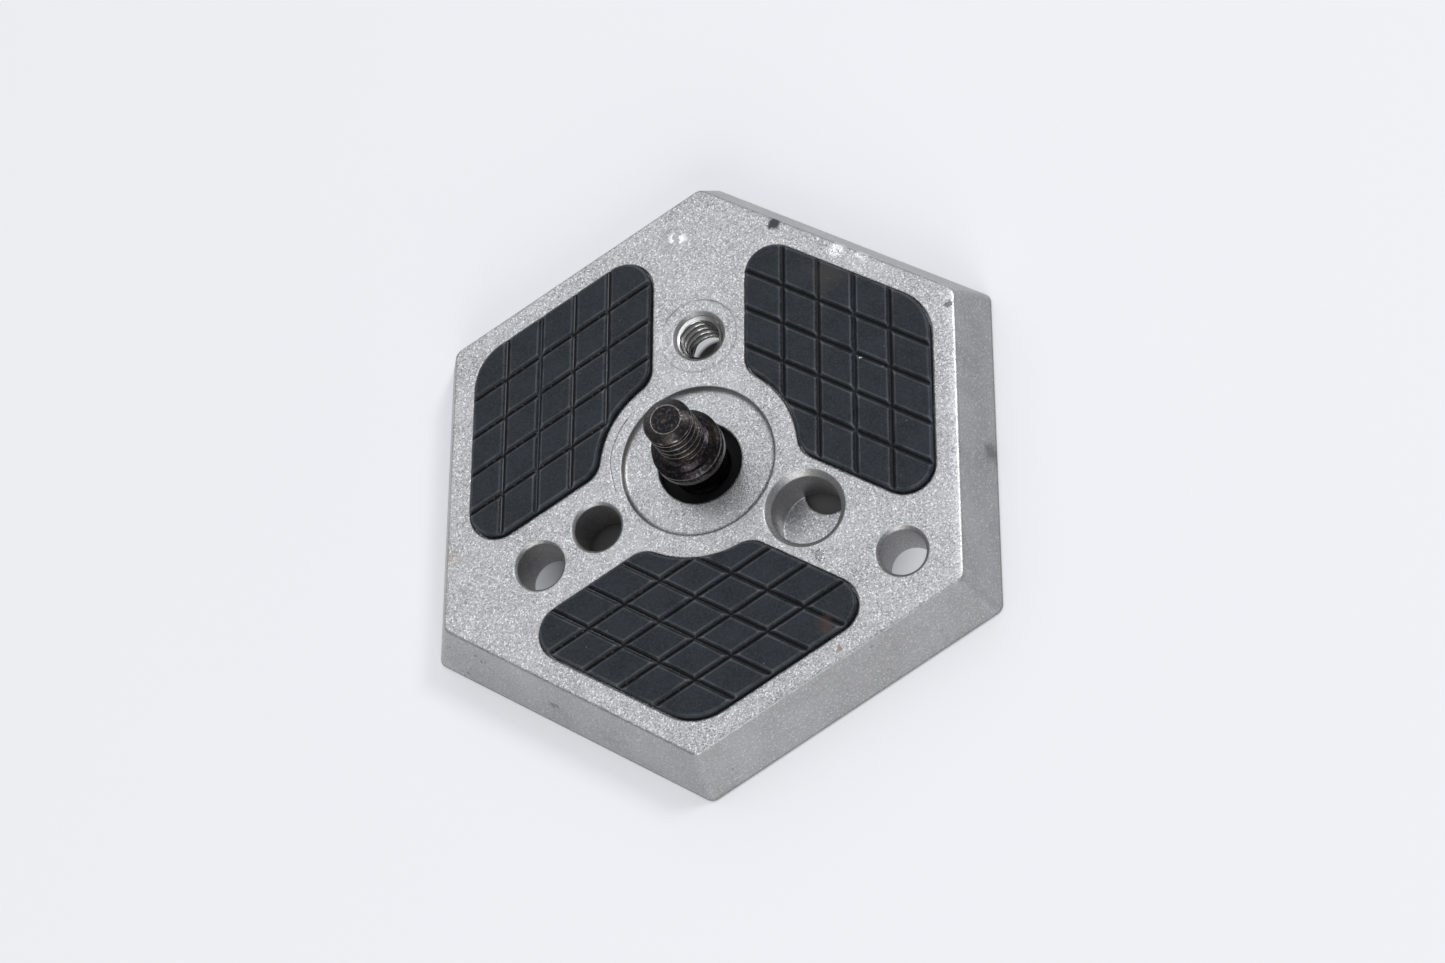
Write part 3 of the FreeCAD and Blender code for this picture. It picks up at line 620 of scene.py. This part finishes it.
def makePlatedSteel():
    look = handleLook
    material, tree, shader, coordinates = newMaterial("platedSteel")
    place = coordinates["Object"]
    stretched = addNode(tree, "Mapping", {"Vector": place, "Scale": (0.15, 1.0, 1.0)}).outputs[0]
    drawn = noiseNode(tree, stretched, 0.18 * mm, 3.0)
    patches = noiseNode(tree, place, 2.2 * mm, 5.0)
    edge = setGroup(tree, edgeGroup, {"Vector": place, "Radius": look["edgeRadius"], "Evenness": 0.3,
                                      "Patch Size": 1.2 * mm})
    rust = speckMask(tree, place, 0.9 * mm, 0.12, 0.25)
    colour = mixColour(tree, rampNode(tree, patches, 0.35, 0.7), look["plating"], look["dull"])
    colour = mixColour(tree, multiply(tree, edge["Mask"], look["edgeAmount"]), colour, look["edge"])
    colour = mixColour(tree, multiply(tree, rust, look["rustAmount"]), colour, look["rust"])
    tree.links.new(colour, shader.inputs["Base Color"])
    shader.inputs["Metallic"].default_value = 1.0
    tree.links.new(rampNode(tree, patches, 0.3, 0.7, *look["roughness"]), shader.inputs["Roughness"])
    setBump(tree, shader, multiply(tree, drawn, look["depth"]), edge["Normal"])
    return material


castMetal = makeCastMetal()
mouldedRubber = makeRubber()
blackenedSteel = makeBlackenedSteel()
machinedMetal = makeMachinedMetal()
blackPlasticAndShade = makeBlackPlastic()
platedSteel = makePlatedSteel()
print("materials made")


# Dress the pieces whose CAD shape stays

for nodeName, material in (("plate_casting", castMetal), ("retaining_washer", blackPlasticAndShade),
                           ("folding_handle", platedSteel)):
    for materialSlot in nodes[nodeName].material_slots:
        materialSlot.material = material


def addPiece(name, mesh, material, body, slotName, *stoodFor):
    mesh.materials.clear()
    mesh.materials.append(material)
    piece = bpy.data.objects.new(name, mesh)
    bpy.context.scene.collection.objects.link(piece)
    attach(piece, body)
    if stoodFor:
        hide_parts(*stoodFor)


# Rubber pads: the solids remeshed and softened like moulded rubber

padValues = {
    "voxel": 0.15,
    "softening": 4,
    "softFactor": 0.5,
    "waveReach": 0.8,
    "waveHeight": 0.06,
    "waveSize": 3.2,
    "lipHeight": 0.024,
    "grooveDepth": 0.014,
}


def markLips(mesh):
    # how far each point stands out from its neighbours (lips and rim) or lies below them (grooves)
    sums = [Vector() for vertex in mesh.vertices]
    counts = [0] * len(sums)
    for edge in mesh.edges:
        first, second = edge.vertices
        sums[first] += mesh.vertices[second].co
        sums[second] += mesh.vertices[first].co
        counts[first] += 1
        counts[second] += 1
    lips = mesh.attributes.new("lip", "FLOAT", "POINT")
    grooves = mesh.attributes.new("groove", "FLOAT", "POINT")
    for index, vertex in enumerate(mesh.vertices):
        outward = (vertex.co - sums[index] / counts[index]).dot(vertex.normal)
        lips.data[index].value = max(0.0, min(outward / padValues["lipHeight"], 1.0))
        grooves.data[index].value = max(0.0, min(-outward / padValues["grooveDepth"], 1.0))


def makeMouldedPad(nodeName, pieceName):
    mesh = nodes[nodeName].data.copy()
    mesh.transform(Matrix.Scale(1 / mm, 4))  # millimetres while it is remeshed
    work = bpy.data.objects.new(pieceName + "Work", mesh)
    bpy.context.scene.collection.objects.link(work)
    remesh = work.modifiers.new("remesh", "REMESH")
    remesh.mode = "VOXEL"
    remesh.voxel_size = padValues["voxel"]
    remesh.use_smooth_shade = True
    soften = work.modifiers.new("soften", "SMOOTH")
    soften.factor = padValues["softFactor"]
    soften.iterations = padValues["softening"]
    depsgraph = bpy.context.evaluated_depsgraph_get()
    softMesh = bpy.data.meshes.new_from_object(work.evaluated_get(depsgraph))
    bpy.data.objects.remove(work)
    topHeight = max(vertex.co.z for vertex in softMesh.vertices)
    for vertex in softMesh.vertices:
        near = max(0.0, 1.0 - (topHeight - vertex.co.z) / padValues["waveReach"])
        wave = noise.noise(vertex.co / padValues["waveSize"]) - 0.5
        vertex.co.z += near * padValues["waveHeight"] * wave
    markLips(softMesh)
    softMesh.transform(Matrix.Scale(mm, 4))
    addPiece(pieceName, softMesh, mouldedRubber, "plate", "rubber", nodeName)


for side in ("lower", "right", "left"):
    makeMouldedPad(side + "_rubber_pad", side + "PadMoulded")
print("rubber pads made")


# Threads, built in millimetres

mergeDistance = 0.002


def threadDepthAt(phase, crestFlat, rootFlat):
    # 0 on the crest, 1 in the root, straight flanks between
    away = abs(2 * (phase % 1.0) - 1)
    return min(max((away - crestFlat) / (1 - crestFlat - rootFlat), 0.0), 1.0)


def helicalGrid(build, zLow, zHigh, pitch, radiusAt, segments, crestLayer, inward=False):
    # rows follow the helix, so each crest is one clean edge loop
    offsets = (0.0, 0.1, 0.2, 0.3, 0.38, 0.44, 0.5, 0.56, 0.62, 0.7, 0.8, 0.9)
    perTurn = len(offsets)
    turns = math.ceil((zHigh - zLow) / pitch) + 2
    rows = [[] for segment in range(segments)]
    for segment in range(segments):
        angle = 2 * math.pi * segment / segments
        for row in range(turns * perTurn):
            phase = row // perTurn + offsets[row % perTurn]
            height = zLow + pitch * (phase - 1 + segment / segments)
            height = min(max(height, zLow), zHigh)
            radius, shine = radiusAt(height, phase)
            vertex = build.verts.new((radius * math.cos(angle), radius * math.sin(angle), height))
            vertex[crestLayer] = shine
            rows[segment].append(vertex)
    for segment in range(segments):
        after = (segment + 1) % segments
        shift = perTurn if after == 0 else 0
        for row in range(turns * perTurn - 1 - shift):
            corners = [rows[segment][row], rows[after][row + shift],
                       rows[after][row + 1 + shift], rows[segment][row + 1]]
            build.faces.new(corners[::-1] if inward else corners)


def lathe(build, profile, segments, crestLayer):
    # profile runs from the lower middle to the upper middle, as (radius, height, shine)
    rings = []
    for radius, height, shine in profile:
        count = segments if radius > 0 else 1
        ring = []
        for segment in range(count):
            angle = 2 * math.pi * segment / segments
            vertex = build.verts.new((radius * math.cos(angle), radius * math.sin(angle), height))
            vertex[crestLayer] = shine
            ring.append(vertex)
        rings.append(ring)
    for low, high in zip(rings, rings[1:]):
        for segment in range(segments):
            after = (segment + 1) % segments
            corners = [low[segment % len(low)], low[after % len(low)],
                       high[after % len(high)], high[segment % len(high)]]
            build.faces.new(list(dict.fromkeys(corners)))


screwValues = {
    "pitch": 1.27,
    "depth": 0.72,
    "crestFlat": 0.12,
    "rootFlat": 0.2,
    "runOut": 0.3,
    "crestFade": 5,
    "footRadius": 2.38,
    "footLength": 0.45,
    "footStart": 0.4,
    "footSlope": 1.6,
    "tipRadius": 2.05,
    "tipChamfer": 0.75,
    "tipLand": 0.14,
    "tipShine": 0.64,
    # the end of the tip as radius, depth below the tip and shine; it starts at tipRadius
    "tipEnd": ((2.05, 0.0, 1.0), (1.93, 0.0, 0.9), (1.83, 0.07, 0.2), (1.2, 0.1, 0.05), (0.6, 0.14, 0.05),
               (0.25, 0.16, 0.1), (0.12, 0.3, 0), (0, 0.34, 0)),
    "collarPitch": 1.5875,
    "collarDepth": 0.7,
    "collarCrestFlat": 0.14,
    "collarRunOut": 0.5,
    "collarCrestFade": 4,
    "collarConeShine": 0.57,
    "collarBandShine": 0.66,
    "collarThreadFoot": 11.9,
    "leadRadius": 3.425,
    "leadLength": 1.1,
    "collarChamfer": 0.3,
    "neckRadius": 3.9,
    "flangeRadius": 9.2,
    "flangeLow": 3.2,
    "flangeHigh": 4.5,
    "flangeChamfer": 0.2,
    "collarLow": 10.6,
    "collarHigh": 14.4,
    "lugNear": 0.01,
    "lugMerge": 0.001,
    "segments": 128,
}


def makeThreadedScrew():
    values = screwValues
    crest = mounts["camera_screw_tip"]["dims"]["r_mm"]
    collar = mounts["camera_screw_collar"]["dims"]["r_mm"]
    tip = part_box("camera_screw")[1].z / mm
    build = bmesh.new()
    crestLayer = build.verts.layers.float.new("crest")

    def smallRadius(height, phase):
        foot = (height - values["collarHigh"]) / values["footLength"]
        taper = (tip - height) / values["tipChamfer"]
        limit = min(values["footRadius"] + max(foot - values["footStart"], 0.0) * values["footSlope"],
                    values["tipRadius"] + min(taper, 1.0) * (crest - values["tipRadius"]))
        depth = threadDepthAt(phase, values["crestFlat"], values["rootFlat"])
        landEnd = tip - values["tipChamfer"] - values["tipLand"]
        depth *= min(max((landEnd - height) / values["runOut"], 0.0), 1.0)
        thread = crest - values["depth"] * depth
        shine = max(0.0, 1 - depth * values["crestFade"])
        if thread > limit:
            shine = values["tipShine"]
        return min(thread, limit), shine

    def collarRadius(height, phase):
        lead = min((values["collarHigh"] - height) / values["leadLength"], 1.0)
        fromFoot = height - values["collarLow"]
        limit = min(values["leadRadius"] + lead * (collar - values["leadRadius"]),
                    collar - max(values["collarChamfer"] - fromFoot, 0.0))
        depth = threadDepthAt(phase, values["collarCrestFlat"], values["rootFlat"])
        depth *= min(max((height - values["collarThreadFoot"]) / values["collarRunOut"], 0.0), 1.0)
        thread = collar - values["collarDepth"] * depth
        shine = max(0.0, 1 - depth * values["collarCrestFade"])
        if height < values["collarThreadFoot"]:
            shine = values["collarBandShine"]
        elif thread > limit:
            shine = values["collarConeShine"]
        return min(thread, limit), shine

    chamfer = values["flangeChamfer"]
    lathe(build, [(0, values["flangeLow"], 0),
                  (values["flangeRadius"] - chamfer, values["flangeLow"], 0.3),
                  (values["flangeRadius"], values["flangeLow"] + chamfer, 0.5),
                  (values["flangeRadius"], values["flangeHigh"] - chamfer, 0.5),
                  (values["flangeRadius"] - chamfer, values["flangeHigh"], 0.3),
                  (values["neckRadius"], values["flangeHigh"], 0),
                  (values["neckRadius"], values["collarLow"], 0),
                  (collar - values["collarChamfer"], values["collarLow"], 0.1)],
          values["segments"], crestLayer)
    helicalGrid(build, values["collarLow"], values["collarHigh"], values["collarPitch"], collarRadius,
                values["segments"], crestLayer)
    lathe(build, [(values["leadRadius"], values["collarHigh"], 0.2),
                  (values["footRadius"], values["collarHigh"], 0)], values["segments"], crestLayer)
    helicalGrid(build, values["collarHigh"], tip, values["pitch"], smallRadius, values["segments"],
                crestLayer)
    lathe(build, [(radius, tip - below, shine) for radius, below, shine in values["tipEnd"]],
          values["segments"], crestLayer)
    bmesh.ops.remove_doubles(build, verts=build.verts, dist=mergeDistance)
    addLug(build, values["flangeLow"])
    bmesh.ops.recalc_face_normals(build, faces=build.faces)
    mesh = bpy.data.meshes.new("cameraScrewThreaded")
    build.to_mesh(mesh)
    build.free()
    mesh.transform(Matrix.Scale(mm, 4))
    mesh.shade_smooth()
    addPiece("cameraScrewThreaded", mesh, blackenedSteel, "screw", "blackened_steel", "camera_screw")


def addLug(build, flangeFoot):
    # the lug below the flange keeps its CAD faces
    near = screwValues["lugNear"]
    lug = bmesh.new()
    lug.from_mesh(nodes["camera_screw"].data)
    bmesh.ops.scale(lug, vec=(1 / mm,) * 3, verts=lug.verts)
    bmesh.ops.remove_doubles(lug, verts=lug.verts, dist=screwValues["lugMerge"])
    above = []
    for face in lug.faces:
        heights = [vertex.co.z for vertex in face.verts]
        if min(heights) > flangeFoot - near or max(heights) > flangeFoot + near:
            above.append(face)
    bmesh.ops.delete(lug, geom=above, context="FACES")
    bmesh.ops.holes_fill(lug, edges=lug.edges, sides=0)
    copied = {vertex: build.verts.new(vertex.co) for vertex in lug.verts if vertex.link_faces}
    for face in lug.faces:
        build.faces.new([copied[vertex] for vertex in face.verts])
    lug.free()


makeThreadedScrew()
print("camera screw made")


holeThreadValues = {
    "pitch": 1.27,
    "depth": 0.68,
    "shell": 0.12,
    "runIn": 0.25,
    "crestFlat": 0.16,
    "rootFlat": 0.14,
    "crestFade": 1.7,
    "segments": 96,
}


def makeHoleThread():
    values = holeThreadValues
    mount = mounts["threaded_hole"]
    wall = mount["dims"]["r_mm"]
    halfLength = mount["dims"]["length_mm"] / 2
    centre = Vector(mount["pos_m"]) / mm
    low, high = centre.z - halfLength, centre.z + halfLength
    outside = wall + values["shell"]

    def boreRadius(height, phase):
        fromEnd = min(height - low, high - height) / values["runIn"]
        limit = outside - min(fromEnd, 1.0) * (values["depth"] + values["shell"])
        depth = threadDepthAt(phase, values["crestFlat"], values["rootFlat"])
        thread = wall - values["depth"] * (1 - depth)
        return max(thread, limit), max(0.0, 1 - depth * values["crestFade"])

    build = bmesh.new()
    crestLayer = build.verts.layers.float.new("crest")
    helicalGrid(build, low, high, values["pitch"], boreRadius, values["segments"], crestLayer,
                inward=True)
    lathe(build, [(outside, low, 0), (outside, high, 0)], values["segments"], crestLayer)
    bmesh.ops.remove_doubles(build, verts=build.verts, dist=mergeDistance)
    bmesh.ops.translate(build, verts=build.verts, vec=(centre.x, centre.y, 0))
    bmesh.ops.recalc_face_normals(build, faces=build.faces)
    mesh = bpy.data.meshes.new("threadedHoleTurns")
    build.to_mesh(mesh)
    build.free()
    mesh.transform(Matrix.Scale(mm, 4))
    mesh.shade_smooth()
    addPiece("threadedHoleTurns", mesh, machinedMetal, "plate", "cast_metal")


makeHoleThread()
print("hole thread made")


# Camera, floor and light

cameraValues = {
    "place": (0.0956, -0.1355, 0.3123),
    "turn": (22.597, 16.780, 0.168),
    "lens": 66.68,
    "sensor": 36.0,
}


def makeCamera():
    lens = bpy.data.cameras.new("camera")
    lens.lens = cameraValues["lens"]
    lens.sensor_width = cameraValues["sensor"]
    lens.sensor_fit = "HORIZONTAL"
    lens.clip_start = 0.01
    camera = bpy.data.objects.new("camera", lens)
    camera.location = cameraValues["place"]
    camera.rotation_euler = [math.radians(angle) for angle in cameraValues["turn"]]
    bpy.context.scene.collection.objects.link(camera)
    bpy.context.scene.camera = camera


studioValues = {
    "floorColour": (0.93, 0.94, 0.97),
    "floorPatches": (0.87, 0.88, 0.91),
    "patchSize": 1 / 6,
    "floorRoughness": 0.8,
    "floorSpecular": 0.2,
    "floorGlow": (0.86, 0.87, 0.905),
    "floorSize": 6.0,
    "liftInside": (0.031, 0.034, 0.55, 0.15),
    "liftOutside": (0.042, 0.080, 0.15, 0.5),
    "shadeColour": (0.16, 0.155, 0.15),
    "shades": {"underScrew": ((-0.001, -0.008, 0.0), (0.0185, 0.029)),
               "underThread": ((0.0008, 0.0170, 0.0), (0.0034, 0.0040))},
    "skyAxis": (-0.27, 0.38, 0.885),
    "skyRange": (0.45, 0.97),
    "skyStrength": (0.21, 1.17),
    "skyColour": (0.96, 0.98, 1.0),
    "backdrop": (0.86, 0.87, 0.9),
    "keyPlace": (0.50, 0.42, 0.70),
    "keySize": 0.2,
    "keyPower": 2.2,
    "fillPlace": (0.10, -0.95, 0.55),
    "fillSize": 0.7,
    "fillPower": 4.2,
}


def makeFloor():
    material, tree, shader, coordinates = newMaterial("studioFloor")
    place = coordinates["Object"]
    cloud = noiseNode(tree, place, studioValues["patchSize"], 2.0)
    colour = mixColour(tree, rampNode(tree, cloud, 0.3, 0.7, 0.0, 0.1), studioValues["floorColour"],
                       studioValues["floorPatches"])
    lit = None
    for centre, reach in studioValues["shades"].values():
        apart = addNode(tree, "VectorMath", {0: place, 1: centre}, operation="DISTANCE").outputs["Value"]
        away = rampNode(tree, apart, *reach)
        lit = away if lit is None else multiply(tree, lit, away)
    colour = mixColour(tree, lit, studioValues["shadeColour"], colour)
    tree.links.new(colour, shader.inputs["Base Color"])
    shader.inputs["Roughness"].default_value = studioValues["floorRoughness"]
    shader.inputs["Specular IOR Level"].default_value = studioValues["floorSpecular"]
    glow = addNode(tree, "Emission", {"Color": studioValues["floorGlow"], "Strength": 1.0})
    light = addNode(tree, "LightPath")
    seen = mathNode(tree, "ADD", light.outputs["Is Camera Ray"], light.outputs["Is Glossy Ray"])
    seen = mathNode(tree, "ADD", seen, light.outputs["Is Transmission Ray"], clamp=True)
    reach = addNode(tree, "VectorMath", {0: place}, operation="LENGTH").outputs["Value"]
    lift = mathNode(tree, "MAXIMUM", rampNode(tree, reach, *studioValues["liftInside"]),
                    rampNode(tree, reach, *studioValues["liftOutside"]))
    share = multiply(tree, seen, multiply(tree, lift, lit))
    blend = addNode(tree, "MixShader", {0: share, 1: shader.outputs[0], 2: glow.outputs[0]})
    behind = addNode(tree, "NewGeometry").outputs["Backfacing"]  # from below the floor is clear
    clear = addNode(tree, "BsdfTransparent")
    oneSided = addNode(tree, "MixShader", {0: behind, 1: blend.outputs[0], 2: clear.outputs[0]})
    tree.links.new(oneSided.outputs[0], tree.nodes["Material Output"].inputs["Surface"])
    half = studioValues["floorSize"] / 2
    mesh = bpy.data.meshes.new("studioFloor")
    corners = [(-half, -half, 0), (half, -half, 0), (half, half, 0), (-half, half, 0)]
    mesh.from_pydata(corners, [], [(0, 1, 2, 3)])
    mesh.materials.append(material)
    floor = bpy.data.objects.new("studioFloor", mesh)
    bpy.context.scene.collection.objects.link(floor)


def makeLamp(name, place, size, power):
    lamp = bpy.data.lights.new(name, "AREA")
    lamp.size = size
    lamp.energy = power
    holder = bpy.data.objects.new(name, lamp)
    holder.location = place
    holder.rotation_euler = (-Vector(place)).to_track_quat("-Z", "Y").to_euler()
    bpy.context.scene.collection.objects.link(holder)


def makeSky():
    sky = bpy.data.worlds.new("studioSky")
    bpy.context.scene.world = sky
    sky.use_nodes = True
    tree = sky.node_tree
    lit = tree.nodes["Background"]
    lit.inputs["Color"].default_value = (*studioValues["skyColour"], 1.0)
    towards = addNode(tree, "VectorMath", {0: addNode(tree, "TexCoord").outputs["Generated"],
                                           1: studioValues["skyAxis"]}, operation="DOT_PRODUCT")
    glow = rampNode(tree, towards.outputs["Value"], *studioValues["skyRange"], *studioValues["skyStrength"])
    tree.links.new(glow, lit.inputs["Strength"])
    seen = addNode(tree, "Background", {"Color": studioValues["backdrop"], "Strength": 1.0})
    light = addNode(tree, "LightPath")
    blend = addNode(tree, "MixShader", {0: light.outputs["Is Camera Ray"], 1: lit.outputs[0],
                                        2: seen.outputs[0]})
    tree.links.new(blend.outputs[0], tree.nodes["World Output"].inputs["Surface"])


makeCamera()
makeFloor()
makeSky()
makeLamp("keyLamp", studioValues["keyPlace"], studioValues["keySize"], studioValues["keyPower"])
makeLamp("fillLamp", studioValues["fillPlace"], studioValues["fillSize"], studioValues["fillPower"])
bpy.context.scene.view_settings.view_transform = "Standard"
print("studio made")
